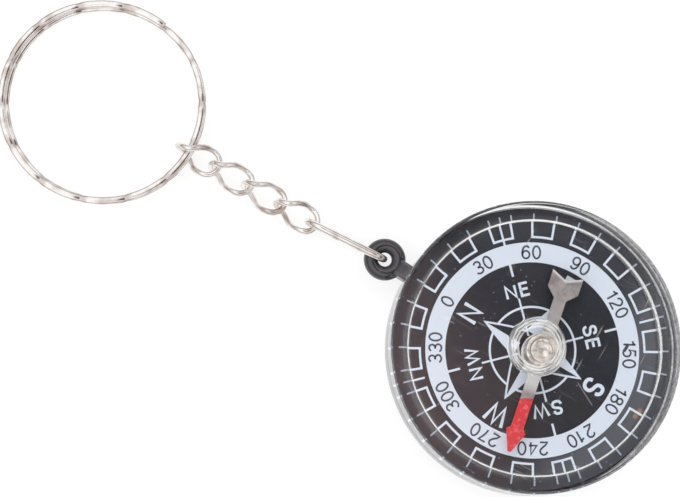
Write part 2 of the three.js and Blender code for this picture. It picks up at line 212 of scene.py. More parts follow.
class Reading:
    """A socket of a finish. Arithmetic between readings and numbers adds Math nodes."""

    def __init__(self, finish, socket):
        self.finish = finish
        self.socket = socket

    def math(self, operation, *inputs):
        return self.finish.node("ShaderNodeMath", {"operation": operation}, *inputs)

    def __add__(self, other):
        return self.math("ADD", self, other)

    def __radd__(self, other):
        return self.math("ADD", other, self)

    def __sub__(self, other):
        return self.math("SUBTRACT", self, other)

    def __rsub__(self, other):
        return self.math("SUBTRACT", other, self)

    def __mul__(self, other):
        return self.math("MULTIPLY", self, other)

    def __rmul__(self, other):
        return self.math("MULTIPLY", other, self)

    def __pow__(self, other):
        return self.math("POWER", self, other)

    def __abs__(self):
        return self.math("ABSOLUTE", self)

    def sine(self):
        return self.math("SINE", self)

    def most(self, other):
        return self.math("MAXIMUM", self, other)

    def rises(self, low, high):
        """0 below low, 1 above high and a soft step between them."""
        return self.finish.node(
            "ShaderNodeMapRange",
            {"interpolation_type": "SMOOTHSTEP"},
            Value=self,
            From_Min=low,
            From_Max=high,
        )

    def falls(self, low, high):
        """1 below low, 0 above high and a soft step between them."""
        return 1 - self.rises(low, high)

    def band(self, start, full, fall, end):
        """1 from full to fall, and 0 below start and above end."""
        return self.rises(start, full) * self.falls(fall, end)


class Finish:
    """A node tree that is written as expressions on Readings."""

    def __init__(self, owner):
        owner.use_nodes = True
        self.owner = owner
        self.tree = owner.node_tree
        self.tree.nodes.clear()

    def node(self, kind, settings=None, *values, out=0, **named):
        made = self.tree.nodes.new(kind)
        for key, value in (settings or {}).items():
            if key == "stops":
                ramp = made.color_ramp
                while len(ramp.elements) < len(value):
                    ramp.elements.new(1.0)
                for element, (place, colour) in zip(ramp.elements, value):
                    element.position = place
                    element.color = colour
            else:
                setattr(made, key, value)
        inputs = list(enumerate(values)) + [(k.replace("_", " "), v) for k, v in named.items()]
        for key, value in inputs:
            socket = made.inputs[key]
            if isinstance(value, Reading):
                self.tree.links.new(value.socket, socket)
            elif value is not None:
                socket.default_value = value
        return Reading(self, made.outputs[out]) if len(made.outputs) else None

    def principled(self, **named):
        return self.node("ShaderNodeBsdfPrincipled", {}, **named)

    def blend(self, share, first, second):
        """A colour between two colours."""
        values = [share, None, None, None, None, None, first, second]
        return self.node("ShaderNodeMix", {"data_type": "RGBA"}, *values, out=2)

    def place(self, scale=(1, 1, 1), turn=0.0):
        """Where a point is on its own piece, in millimetres times scale, turned about the height."""
        here = self.node("ShaderNodeTexCoord", out="Object")
        size = tuple(1000 * s for s in scale)
        return self.node("ShaderNodeMapping", {}, Vector=here, Rotation=(0, 0, turn), Scale=size)

    def east_north_height(self, here):
        parts = self.node("ShaderNodeSeparateXYZ", {}, here).socket.node.outputs
        return [Reading(self, part) for part in parts]

    def from_middle(self, here):
        """How far a point lies from the middle of the case, seen from above."""
        east, north, _ = self.east_north_height(here)
        return distance(east, north)

    def toward(self, way, direction):
        """How far a view direction points along another."""
        return self.node("ShaderNodeVectorMath", {"operation": "DOT_PRODUCT"}, way, direction, out="Value")

    def noise(self, where, scale, detail=2.0):
        return self.node("ShaderNodeTexNoise", {}, Vector=where, Scale=scale, Detail=detail)

    def raised(self, height, strength, distance):
        return self.node("ShaderNodeBump", {}, Strength=strength, Distance=distance, Height=height)

    def ends(self, shader, kind="ShaderNodeOutputMaterial"):
        self.node(kind, {}, Surface=shader)
        return self.owner


def material(name):
    return Finish(bpy.data.materials.new(name))


def grey(level):
    return (level, level, level, 1.0)


def distance(across, along):
    return (across * across + along * along) ** 0.5


def nickel_plate(name, nick=None):
    """Bright plate with warm tarnish, and painted shade where nick is 1."""
    f = material(name)
    here = f.place()
    tarnish = f.noise(here, 0.45, 1.0).rises(0.45, 0.70)
    rubbed = f.noise(here, 6.0, 4.0)
    fine = f.noise(f.place((1, 0.25, 1)), 14.0)
    plate = f.blend(tarnish, PLATE_BRIGHT, PLATE_TARNISH)
    if nick:
        # Painted shade: the notches are darkened in colour.
        plate = f.blend(nick(f, here), plate, NOTCH_PAINTED_SHADE)
    shader = f.principled(
        Base_Color=plate,
        Metallic=1.0,
        Roughness=0.12 + 0.10 * rubbed,
        Normal=f.raised(fine, 0.06, 0.0002),
    )
    return f.ends(shader)


def ring_notch_shade(f, here):
    """1 in the stamped notches of the key ring, where shade is painted into the plate's colour."""
    east, north, _ = f.east_north_height(here)
    north = north - RING_MIDDLE
    turns = north.math("ARCTAN2", north, east) * (RING_NOTCHES / (2 * math.pi)) - RING_FIRST_NOTCH
    turns = turns + 0.16 * (f.noise(here, 0.8, 1.0) - 0.5)
    past = turns.math("FRACT", turns + 100.5)
    return abs(past - 0.5).falls(0.03, 0.17) * 0.65


def black_moulding():
    """Satin black plastic, scuffed here and there, with a painted sheen in its colour along the stem."""
    f = material("satin_black_moulding")
    here = f.place()
    grain = f.noise(here, 9.0, 3.0)
    scuff = f.noise(f.place((1, 0.3, 1), 0.6), 3.0, 4.0).rises(0.62, 0.75)
    north = f.east_north_height(here)[1]
    # Painted sheen: the stem's top is lightened in colour along its length.
    painted_sheen_on_stem = north.band(22.0, 22.3, 23.7, 24.3) * (0.6 + 0.6 * grain)
    shader = f.principled(
        Base_Color=f.blend(scuff.most(painted_sheen_on_stem), MOULDING_BLACK, MOULDING_SCUFF_AND_SHEEN),
        Roughness=0.13 + 0.08 * grain + 0.14 * scuff,
        Specular_IOR_Level=0.95,
        Normal=f.raised(grain, 0.12, 0.00005),
    )
    return f.ends(shader)


def black_card():
    """Glossy black print on card: dusty, with a scrape and two rust spots, and a painted reflection that
    lightens its outer band, most towards its south edge.
    """
    f = material("gloss_black_card")
    here = f.place()
    east, north, _ = f.east_north_height(here)
    radius = distance(east, north)
    cloud = f.noise(here, 0.14).rises(0.38, 0.62)
    grain = f.noise(here, 5.0, 4.0)
    ink = f.blend(cloud, CARD_BROWN_BLACK, CARD_BLUE_BLACK)
    ink = f.blend(grain.rises(0.4, 0.85), ink, CARD_GRAIN)
    # The outer band is a lighter ink, lighter still away from one side: that side variation is a painted
    # reflection.
    side_without_reflection = (-WEAR_AND_PAINTED_LIGHT_WAY[1] * north - WEAR_AND_PAINTED_LIGHT_WAY[0] * east).rises(2.0, 13.0)
    outer = radius.rises(16.6, 17.2) * (1 - 0.55 * radius.rises(19.4, 19.9)) * (1 - 0.85 * side_without_reflection)
    ink = f.blend(outer, ink, CARD_OUTER_INK_AND_REFLECTION)
    # Painted reflection: the outer band is lightened further towards the south edge.
    painted_light = outer * (0 - north).rises(6.0, 15.0) * (0.6 + 0.8 * grain)
    ink = f.blend(painted_light, ink, CARD_PAINTED_REFLECTION)
    rubbed = f.noise(f.place((1, 0.08, 1), 0.9), 1.6).rises(0.66, 0.74)
    ink = f.blend(rubbed * 0.35, ink, CARD_RUBBED)
    off_east, off_north = east - SCRAPE_START[0], north - SCRAPE_START[1]
    beside = abs(off_north * SCRAPE_WAY[0] - off_east * SCRAPE_WAY[1])
    along = off_east * SCRAPE_WAY[0] + off_north * SCRAPE_WAY[1]
    scrape = beside.falls(0.05, 0.15) * along.band(-0.3, 0.3, 3.8, 4.4)
    ink = f.blend(scrape * 0.9, ink, CARD_SCRAPED)
    for x, y in RUST_SPOTS:
        from_spot = distance(east - x, north - y) + 0.3 * grain
        ink = f.blend(from_spot.falls(0.30, 0.72), ink, CARD_RUST)
    dust = f.node("ShaderNodeTexVoronoi", {"feature": "F1"}, Vector=here, Scale=0.9, out="Distance")
    speck = dust.falls(0.04, 0.12) * f.noise(here, 0.5, 1.0).rises(0.42, 0.55)
    shader = f.principled(
        Base_Color=f.blend(speck * 0.8, ink, CARD_DUST),
        Roughness=0.26 + 0.18 * grain,
        Normal=f.raised(grain, 0.12, 0.00004),
    )
    return f.ends(shader)


def printed_ink(name, colour, worn, painted_light):
    """Print with painted shade: darker where it runs out under the cover's wall."""
    f = material(name)
    here = f.place()
    mottle = f.noise(here, 4.0, 4.0).rises(0.45, 0.75)
    # Painted shade where the print runs under the cover's wall.
    shade_under_wall = f.from_middle(here).rises(19.7, 20.1)
    shader = f.principled(
        Base_Color=f.blend(shade_under_wall, f.blend(mottle * 0.5, colour, worn), painted_light),
        Roughness=0.42 + 0.12 * mottle,
    )
    return f.ends(shader)


def clear_moulding():
    """Clear plastic with scratches, turning rings on the boss, a rim worn on one side, and painted shade as
    dark frosting at the skirt's foot on that side.
    """
    f = material("clear_moulding")
    here = f.place()
    first = f.noise(f.place((1, 0.05, 1), 0.7), 2.2, 1.0)
    second = f.noise(f.place((0.05, 1, 1), 0.35), 2.0, 1.0)
    patch = f.noise(here, 0.25, 1.0).rises(0.5, 0.7)
    scratch = first.rises(0.71, 0.73).most(second.rises(0.72, 0.74)) * patch
    glass = f.principled(
        Base_Color=CLEAR_PLASTIC,
        Roughness=0.22 * scratch,
        IOR=1.49,
        Transmission_Weight=1.0,
    )
    east, north, height = f.east_north_height(here)
    radius = distance(east, north)
    boss = radius.band(2.75, 3.05, 4.28, 4.40)
    wall = radius.band(19.3, 19.6, 20.0, 20.4)
    worn_and_shaded_side = (WEAR_AND_PAINTED_LIGHT_WAY[0] * east + WEAR_AND_PAINTED_LIGHT_WAY[1] * north).rises(4.0, 15.0)
    rim = radius.rises(22.05, 22.3)
    # Painted shade: a dark frosting at the skirt's foot on one side.
    foot_shade = radius.rises(21.8, 21.95) * height.falls(1.3, 2.6)
    rubbed = f.noise(f.place((1, 1, 0.3)), 1.5, 4.0).rises(0.3, 0.75)
    uneven = f.noise(here, 0.5, 1.0)
    arcs = ((radius + 0.5 * uneven) * (2 * math.pi / BOSS_RING_PITCH)).sine().rises(-0.5, 0.7)
    chafed = f.noise(here, 0.35).rises(0.42, 0.58)
    haze = boss * (0.07 + 0.36 * arcs) * (0.40 + 0.60 * chafed)
    haze = haze + (0.03 * wall + (0.03 + 0.32 * worn_and_shaded_side) * rim) * (0.4 + 0.8 * rubbed)
    haze = haze.most(0.14 * scratch).most(foot_shade * worn_and_shaded_side * (0.45 + 0.4 * rubbed))
    frosted = f.principled(Base_Color=f.blend(foot_shade, CLEAR_FROSTED, CLEAR_FOOT_SHADE), Roughness=0.55)
    moulding = f.node("ShaderNodeMixShader", {}, haze, glass, frosted)
    open_air = f.node("ShaderNodeBsdfTransparent", {}, Color=CLEAR_SHADE)
    bounced = f.node("ShaderNodeLightPath", out="Is Diffuse Ray")
    lamp = f.node("ShaderNodeLightPath", out="Is Shadow Ray")
    seen = f.node("ShaderNodeMixShader", {}, bounced, moulding, open_air)
    return f.ends(f.node("ShaderNodeMixShader", {}, lamp, seen, open_air))


def needle_finish():
    """Stamped steel with red paint on the tip, lighter round the hub, along the shaft and at the tail's
    notch: partly polish, partly a painted highlight.
    """
    f = material("stamped_steel_red_tip")
    here = f.place()
    east, north, _ = f.east_north_height(here)
    north = north - PIVOT[1]
    ahead, beside = math.sin(NEEDLE_BEARING), math.cos(NEEDLE_BEARING)
    along = east * ahead + north * beside
    aside = east * beside - north * ahead + BLADE_ASIDE
    back = 0 - along
    wavy = f.noise(here, 1.6)
    paint = (along - 0.35 * aside + 0.5 * wavy).rises(PAINT_STARTS + 0.2, PAINT_STARTS + 0.3)
    brushed = f.noise(f.place((0.15, 3.0, 1), NEEDLE_BEARING), 3.0, 3.0)
    cloud = f.noise(here, 0.9, 4.0)
    pitted = f.noise(here, 6.0, 3.0).rises(0.4, 0.7)
    steel = f.blend(cloud.rises(0.3, 0.7), STEEL_DARK, STEEL_LIGHT)
    steel = f.blend(pitted * 0.45, steel, STEEL_PITTED)
    # Polish and painted highlight: the hub, shaft, tail and tail notch are lightened in colour.
    hub = distance(along, aside).falls(3.2, 3.7)
    shaft = along.band(2.0, 3.5, 4.8, 7.0)
    tail = back.band(3.0, 4.0, 8.0, 9.5)
    tail_notch = (back - 0.444 * abs(aside)).rises(11.25, 11.65)
    bright = hub.most(shaft).most(tail * 0.28).most(tail_notch * 0.85)
    steel = f.blend(bright, steel, STEEL_POLISH_AND_HIGHLIGHT)
    thin = f.noise(here, 1.3, 4.0).rises(0.45, 0.7)
    shader = f.principled(
        Base_Color=f.blend(paint, steel, f.blend(thin, RED_PAINT, RED_PAINT_THIN)),
        Metallic=1 - paint,
        Roughness=0.30 + 0.22 * brushed + 0.04 * paint,
        Normal=f.raised(brushed * (1 - paint) + paint * cloud, 0.22, 0.00006),
    )
    return f.ends(shader)


def turned_metal(name, colour, stain_and_shade_colour, pitch):
    """Metal with the fine rings that a lathe leaves, pitch millimetres apart, stains, and painted shade in
    the groove.
    """
    f = material(name)
    here = f.place()
    east, north, _ = f.east_north_height(here)
    radius = distance(east, north - PIVOT[1])
    rings = (radius * (2 * math.pi / pitch)).sine() * 0.5 + 0.5
    cloud = f.noise(here, 1.3, 4.0)
    # Painted shade darkens the groove of the cap.
    groove = abs(radius - CAP_GROOVE).falls(0.03, 0.20)
    stain_and_shade = (cloud.rises(0.38, 0.62) * 0.75 + rings * 0.15).most(groove * 0.9)
    shader = f.principled(
        Base_Color=f.blend(stain_and_shade, colour, stain_and_shade_colour),
        Metallic=1.0,
        Roughness=0.36 + 0.14 * cloud,
        Normal=f.raised(rings, 0.35, 0.00003),
    )
    return f.ends(shader)


def piece(name, bm, finish, body, smooth=SHARP_ANGLE):
    """A mesh object from bmesh faces in millimetres, riding on a body."""
    bmesh.ops.recalc_face_normals(bm, faces=bm.faces)
    bmesh.ops.scale(bm, vec=(MM, MM, MM), verts=bm.verts)
    mesh = bpy.data.meshes.new(name)
    bm.to_mesh(mesh)
    bm.free()
    if smooth:
        mesh.polygons.foreach_set("use_smooth", [True] * len(mesh.polygons))
        mesh.set_sharp_from_angle(angle=math.radians(smooth))
    mesh.materials.append(finish)
    made = bpy.data.objects.new(name, mesh)
    bpy.context.collection.objects.link(made)
    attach(made, body)
    return made


def cut_with(made, bm, operation):
    """Cuts or joins a second closed form, in metres, into a piece for good."""
    mesh = bpy.data.meshes.new("tool")
    bm.to_mesh(mesh)
    bm.free()
    tool = bpy.data.objects.new("tool", mesh)
    bpy.context.collection.objects.link(tool)
    cut = made.modifiers.new("cut", "BOOLEAN")
    cut.operation = operation
    cut.solver = "EXACT"
    cut.object = tool
    settled = made.evaluated_get(bpy.context.evaluated_depsgraph_get())
    shaped = bpy.data.meshes.new_from_object(settled)
    made.modifiers.clear()
    made.data = shaped
    shaped.set_sharp_from_angle(angle=math.radians(SHARP_ANGLE))
    bpy.data.objects.remove(tool)


def block(size, middle):
    """A plain block in metres, to cut or join with."""
    bm = bmesh.new()
    bmesh.ops.create_cube(bm, size=1.0)
    bmesh.ops.scale(bm, vec=[v * MM for v in size], verts=bm.verts)
    bmesh.ops.translate(bm, vec=[v * MM for v in middle], verts=bm.verts)
    return bm


def to_eyelet(bm):
    """Turns a form that was made due north round to the eyelet's bearing."""
    bmesh.ops.rotate(bm, matrix=Matrix.Rotation(-EYELET_BEARING, 3, "Z"), verts=bm.verts)
    return bm


def rounded(r, z, size, start, end, steps=8):
    """Profile points of a round corner, angles in degrees."""
    points = []
    for i in range(steps + 1):
        a = math.radians(start + (end - start) * i / steps)
        points.append((r + size * math.cos(a), z + size * math.sin(a)))
    return points


def held(profile, reach=0.05):
    """The profile with extra points close to the ends of its long runs, which keep flats flat."""
    points = []
    for (r0, z0), (r1, z1) in zip(profile, profile[1:]):
        points.append((r0, z0))
        length = math.hypot(r1 - r0, z1 - z0)
        if length > 6 * reach:
            for share in (reach / length, 1 - reach / length):
                points.append((r0 + (r1 - r0) * share, z0 + (z1 - z0) * share))
    return points + [profile[-1]]


def turned(bm, profile, segments):
    """A turning about Z from [radius, height] points, which start and end on the axis or else close."""
    rows = []
    for r, z in profile:
        if r < 1e-6:
            rows.append([bm.verts.new((0, 0, z))] * segments)
            continue
        turn = [2 * math.pi * k / segments for k in range(segments)]
        rows.append([bm.verts.new((r * math.cos(a), r * math.sin(a), z)) for a in turn])
    closed = profile[0][0] > 1e-6
    pairs = list(zip(rows, rows[1:])) + ([(rows[-1], rows[0])] if closed else [])
    for low, high in pairs:
        for k in range(segments):
            n = (k + 1) % segments
            corners = list(dict.fromkeys((low[k], low[n], high[n], high[k])))
            if len(corners) > 2:
                bm.faces.new(corners)
    return bm


def tube(bm, rows, closed):
    """Faces between rows of points round a wire or stroke; open ends are capped."""
    pairs = list(zip(rows, rows[1:])) + ([(rows[-1], rows[0])] if closed else [])
    sides = len(rows[0])
    for here, there in pairs:
        for s in range(sides):
            n = (s + 1) % sides
            bm.faces.new((here[s], here[n], there[n], there[s]))
    if not closed:
        bm.faces.new(rows[0])
        bm.faces.new(rows[-1][::-1])


def slab(bm, outline, low, high):
    """A thin flat piece with a straight-sided outline of x, y points."""
    bottom = [bm.verts.new((x, y, low)) for x, y in outline]
    top = [bm.verts.new((x, y, high)) for x, y in outline]
    bm.faces.new(top)
    bm.faces.new(bottom[::-1])
    count = len(outline)
    for k in range(count):
        n = (k + 1) % count
        bm.faces.new((bottom[k], bottom[n], top[n], top[k]))


def at(bearing, r):
    """The x, y point at a compass bearing in degrees."""
    a = math.radians(bearing)
    return (r * math.sin(a), r * math.cos(a))


def arc_slab(bm, start, end, r0, r1, high, step=2.0):
    count = max(2, int(abs(end - start) / step) + 1)
    turns = [start + (end - start) * k / count for k in range(count + 1)]
    outline = [at(b, r0) for b in turns] + [at(b, r1) for b in reversed(turns)]
    slab(bm, outline, PRINT, high)


def ray_slab(bm, bearing, r0, r1, width, high):
    a = math.radians(bearing)
    side = Vector((math.cos(a), -math.sin(a))) * width / 2
    inner, outer = Vector(at(bearing, r0)), Vector(at(bearing, r1))
    outline = (inner - side, inner + side, outer + side, outer - side)
    slab(bm, [tuple(p) for p in outline], PRINT, high)


def bow(x, y, rx, ry, start, end, count=14):
    """Points of part of an oval, angles in degrees."""
    turns = [math.radians(start + (end - start) * k / count) for k in range(count + 1)]
    return [(x + rx * math.cos(a), y + ry * math.sin(a)) for a in turns]


def eased(points, steps=4):
    """A smooth line through points."""

    def between(p, q, r, s, t):
        bend = 2 * p - 5 * q + 4 * r - s
        twist = 3 * q - p - 3 * r + s
        return 0.5 * (2 * q + t * (r - p) + t * t * bend + t ** 3 * twist)

    ends = [points[0]] + points + [points[-1]]
    line = []
    for a, b, c, d in zip(ends, ends[1:], ends[2:], ends[3:]):
        for k in range(steps):
            line.append(tuple(between(p, q, r, s, k / steps) for p, q, r, s in zip(a, b, c, d)))
    return line + [points[-1]]


def plain_strokes():
    """The dial's plain lettering: each sign's width and the middle lines of its strokes, one unit high."""
    six_back = eased([(0.50, 0.85), (0.41, 0.97), (0.28, 1.0), (0.14, 0.92), (0.04, 0.72),
                      (0.0, 0.46), (0.02, 0.26)])
    six_bowl = bow(0.27, 0.31, 0.26, 0.31, 0, 360, 26)
    one_flag = eased([(0.09, 0.76), (0.22, 0.79), (0.31, 0.87), (0.35, 0.98)])
    two_foot = [(0.36, 0.42), (0.14, 0.22), (0.02, 0.0), (0.55, 0.0)]
    curl = eased([(0.54, 0.73), (0.51, 0.87), (0.42, 0.97), (0.30, 1.0), (0.16, 0.98),
                  (0.07, 0.89), (0.05, 0.75), (0.10, 0.63), (0.22, 0.56), (0.38, 0.51),
                  (0.51, 0.44), (0.58, 0.33), (0.57, 0.18), (0.49, 0.06), (0.36, 0.0),
                  (0.24, 0.0), (0.11, 0.04), (0.03, 0.14), (0.0, 0.28)])
    return {
        "0": (0.54, [bow(0.27, 0.5, 0.27, 0.5, 0, 360, 30)]),
        "1": (0.46, [[(0.36, 0.0), (0.36, 1.0)], one_flag]),
        "2": (0.54, [bow(0.27, 0.72, 0.26, 0.28, 175, -25) + two_foot]),
        "3": (0.54, [bow(0.26, 0.75, 0.23, 0.25, 160, -88) + [(0.2, 0.5)],
                     [(0.2, 0.5)] + bow(0.26, 0.255, 0.27, 0.255, 85, -160)]),
        "4": (0.58, [[(0.43, 0.0), (0.43, 1.0), (0.0, 0.27), (0.58, 0.27)]]),
        "5": (0.54, [[(0.50, 1.0), (0.12, 1.0), (0.05, 0.50)] + bow(0.26, 0.31, 0.27, 0.31, 140, -160)]),
        "6": (0.54, [six_back, six_bowl]),
        "7": (0.52, [[(0.0, 1.0), (0.52, 1.0), (0.35, 0.64), (0.24, 0.32), (0.19, 0.0)]]),
        "8": (0.54, [bow(0.27, 0.765, 0.22, 0.235, 0, 360, 24), bow(0.27, 0.265, 0.27, 0.265, 0, 360, 26)]),
        "9": (0.54, [[(0.54 - x, 1 - y) for x, y in line] for line in (six_back, six_bowl)]),
        "N": (0.64, [[(0.0, 0.0), (0.0, 1.0), (0.64, 0.0), (0.64, 1.0)]]),
        "E": (0.54, [[(0.54, 1.0), (0.0, 1.0), (0.0, 0.0), (0.56, 0.0)], [(0.0, 0.52), (0.50, 0.52)]]),
        "S": (0.58, [curl]),
        "W": (1.04, [[(0.0, 1.0), (0.26, 0.0), (0.52, 1.0), (0.78, 0.0), (1.04, 1.0)]]),
    }


def stroke(bm, line, width, low, high):
    """A flat line of even width along points; it closes on itself where its ends meet."""
    line = [Vector(p) for p in line]
    closed = (line[0] - line[-1]).length < 1e-4
    if closed:
        line = line[:-1]
    count = len(line)
    rows = []
    for k, p in enumerate(line):
        before = line[k - 1] if closed or k else p
        after = line[(k + 1) % count] if closed or k + 1 < count else p
        one = (p - before).normalized() if before != p else (after - p).normalized()
        two = (after - p).normalized() if after != p else one
        square = Vector((-one.y, one.x))
        across = Vector((-(one + two).y, (one + two).x))
        across = across.normalized() if across.length > 1e-6 else square
        reach = min(1.7, 1 / max(0.2, across.dot(square)))
        side = across * width / 2 * reach
        corners = ((p + side, high), (p - side, high), (p - side, low), (p + side, low))
        rows.append([bm.verts.new((q.x, q.y, z)) for q, z in corners])
    tube(bm, rows, closed)


def letters(bm, signs, text, bearing, r, height, width, low, high, stretch=1.0, spacing=0.27):
    """Lettering that stands with its top outwards at a bearing, centred at a radius."""
    size = height - width
    gap = spacing * size
    total = sum(signs[c][0] * size * stretch for c in text) + gap * (len(text) - 1)
    a = math.radians(bearing)
    x, y = at(bearing, r)
    pen = -total / 2
    for c in text:
        wide, lines = signs[c]
        for line in lines:
            laid = []
            for u, v in line:
                across, up = pen + u * size * stretch, (v - 0.5) * size
                laid.append((x + across * math.cos(a) + up * math.sin(a),
                             y - across * math.sin(a) + up * math.cos(a)))
            stroke(bm, laid, width, low, high)
        pen += wide * size * stretch + gap


def soft_step(value, low, high):
    share = min(1, max(0, (value - low) / (high - low)))
    return share * share * (3 - 2 * share)


def wire_loop(centre, straight, bend, start_roll, end_roll, count):
    """Points of a closed wire path: two straights and two half circles, rolled along its length."""
    arc = math.pi * bend
    side = 2 * straight
    reach = straight + bend
    points = []
    for k in range(count):
        along = 2 * (arc + side) * k / count
        if along < side:
            across, length = bend, along - straight
        elif along < side + arc:
            a = (along - side) / bend
            across, length = bend * math.cos(a), straight + bend * math.sin(a)
        elif along < 2 * side + arc:
            across, length = -bend, straight - (along - side - arc)
        else:
            a = (along - 2 * side - arc) / bend
            across, length = -bend * math.cos(a), -straight - bend * math.sin(a)
        rolled = soft_step(length, LINK_TWIST_RUN[0] * reach, LINK_TWIST_RUN[1] * reach)
        roll = start_roll + (end_roll - start_roll) * rolled
        points.append(Vector((across * math.cos(roll), length, across * math.sin(roll))) + Vector(centre))
    return points


def swept(bm, path, radius, sides):
    """A closed round wire along a closed path, with its twist spread evenly."""
    count = len(path)
    tangents = [(path[(k + 1) % count] - path[k - 1]).normalized() for k in range(count)]
    up = tangents[0].orthogonal().normalized()
    ups = [up]
    for k in range(1, count + 1):
        turn = tangents[k - 1].rotation_difference(tangents[k % count])
        up = (turn @ up).normalized()
        ups.append(up)
    last = ups[count]
    slip = math.atan2(last.dot(tangents[0].cross(ups[0])), last.dot(ups[0]))
    rows = []
    for k in range(count):
        u = Matrix.Rotation(-slip * k / count, 3, tangents[k]) @ ups[k]
        v = tangents[k].cross(u)
        row = []
        for s in range(sides):
            a = 2 * math.pi * s / sides
            row.append(bm.verts.new(path[k] + radius * (math.cos(a) * u + math.sin(a) * v)))
        rows.append(row)
    tube(bm, rows, True)
    return bm


def clear_cover(finish):
    seat = CARD_TOP + 0.05
    hollow = [(0, BOSS_HOLLOW), (3.5, BOSS_HOLLOW)] + rounded(3.55, 8.25, 0.3, 90, 0)
    ceiling = [(3.85, 7.05), (3.88, 6.95), (3.97, COVER_CEILING)] + rounded(19.4, 6.5, 0.4, 90, 2)
    wall = [(19.95, seat), (SKIRT_INSIDE, seat)]
    skirt = [(SKIRT_INSIDE, SKIRT_FOOT), (22.35, SKIRT_FOOT)] + rounded(22.0, 8.2, 0.5, 0, 90)
    top = [(4.65, COVER_TOP), (4.5, 8.73), (4.38, 8.8), (4.32, 8.9)]
    boss = rounded(3.95, 9.25, 0.35, 0, 90) + [(0, BOSS_TOP)]
    bm = turned(bmesh.new(), held(hollow + ceiling + wall + skirt + top + boss), segments=256)
    made = piece("clear_case_cover", bm, finish, "case")
    cut_with(made, to_eyelet(block(STEM_SLOT, STEM_SLOT_MIDDLE)), "DIFFERENCE")
    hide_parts("clear_cover")


def black_base(finish):
    back = [(0, 0)] + rounded(SEAT_RADIUS, 0.5, 0.5, -90, 0)
    lip = [(22.15, LIP_TOP), (SEAT_RADIUS, LIP_TOP)]
    seat = [(SEAT_RADIUS, BASE_TOP), (0, BASE_TOP)]
    bm = turned(bmesh.new(), held(back + lip + seat), segments=192)
    made = piece("black_case_base", bm, finish, "case")
    chamfer = [(POST_RADIUS, POST_TOP - POST_CHAMFER), (POST_RADIUS - POST_CHAMFER, POST_TOP)]
    post_profile = [(0, POST_FOOT), (POST_RADIUS, POST_FOOT)] + chamfer + [(0, POST_TOP)]
    post = turned(bmesh.new(), post_profile, segments=48)
    over = POST_TOP + 0.4
    hole_profile = [(0, POST_FOOT), (PIN_HOLE, POST_FOOT), (PIN_HOLE, over), (0, over)]
    hole = turned(bmesh.new(), hole_profile, segments=24)
    for form, operation in ((post, "UNION"), (hole, "DIFFERENCE")):
        bmesh.ops.recalc_face_normals(form, faces=form.faces)
        bmesh.ops.translate(form, vec=PIVOT, verts=form.verts)
        bmesh.ops.scale(form, vec=(MM, MM, MM), verts=form.verts)
        cut_with(made, form, operation)
    for form in (block(STEM_FOOT, STEM_FOOT_MIDDLE), stem(), eyelet()):
        cut_with(made, to_eyelet(form), "UNION")
    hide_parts("case_base")


def stem():
    """The bar with rounded edges from the case to the eyelet, in metres."""
    section = []
    for k, (x, z) in enumerate(STEM_CORNERS):
        section += rounded(x, z, STEM_ROUNDING, 90 * k, 90 * k + 90, 6)
    bm = bmesh.new()
    tube(bm, [[bm.verts.new((x * MM, y * MM, z * MM)) for x, z in section] for y in STEM_RUN], False)
    bmesh.ops.recalc_face_normals(bm, faces=bm.faces)
    return bm


def eyelet():
    """The round eye that carries the chain, in metres."""
    turns = [2 * math.pi * k / EYELET_ROWS for k in range(EYELET_ROWS)]
    eye = Vector((0, EYELET_REACH, CHAIN_HEIGHT))
    circle = [eye + EYELET_RADIUS * Vector((math.cos(a), math.sin(a), 0)) for a in turns]
    bm = swept(bmesh.new(), circle, EYELET_WIRE, EYELET_SIDES)
    bmesh.ops.scale(bm, vec=(MM, MM, MM), verts=bm.verts)
    bmesh.ops.recalc_face_normals(bm, faces=bm.faces)
    return bm


def star_side(count=14):
    """One side of a star point from its tip to the diagonal, as points across and along."""
    tip, pull, root = Vector((0, STAR_TIP)), Vector(STAR_PULL), Vector(STAR_ROOT)
    points = []
    for k in range(count + 1):
        t = k / count
        points.append((1 - t) ** 2 * tip + 2 * t * (1 - t) * pull + t * t * root)
    return points


def turned_to(bearing, points, mirror=1):
    a = math.radians(bearing)
    c, s = math.cos(a), math.sin(a)
    return [(mirror * x * c + y * s, -mirror * x * s + y * c) for x, y in points]


def castle_lines(bm):
    """The open squares round the card, with single lines at the four diagonals."""
    half = math.degrees(LINE / 2 / PRINT_EDGE)
    for start in range(0, 360, 20):
        first, last = start + CASTLE_SPAN[0], start + CASTLE_SPAN[1]
        arc_slab(bm, first, last, CASTLE_RING, CASTLE_RING + LINE, PRINT + INK)
        for bearing in (first + half, last - half):
            ray_slab(bm, bearing, CASTLE_RING + 0.05, CLEAR_WALL, LINE, PRINT + 1.2 * INK)
            ray_slab(bm, bearing, CLEAR_WALL, PRINT_EDGE, LINE_UNDER_WALL, PRINT + 1.2 * INK)
    for bearing, inner in zip(DIAGONALS, DIAGONAL_STARTS):
        ray_slab(bm, bearing, inner, CLEAR_WALL, DIAGONAL_LINE, PRINT + 1.4 * INK)
        ray_slab(bm, bearing, CLEAR_WALL, PRINT_EDGE, LINE_UNDER_WALL, PRINT + 1.4 * INK)
        ray_slab(bm, bearing, *DIAGONAL_TICK, LINE, PRINT + 1.4 * INK)
        ray_slab(bm, bearing, *ROSE_DIAGONAL, ROSE_DIAGONAL_LINE, PRINT + 1.6 * INK)


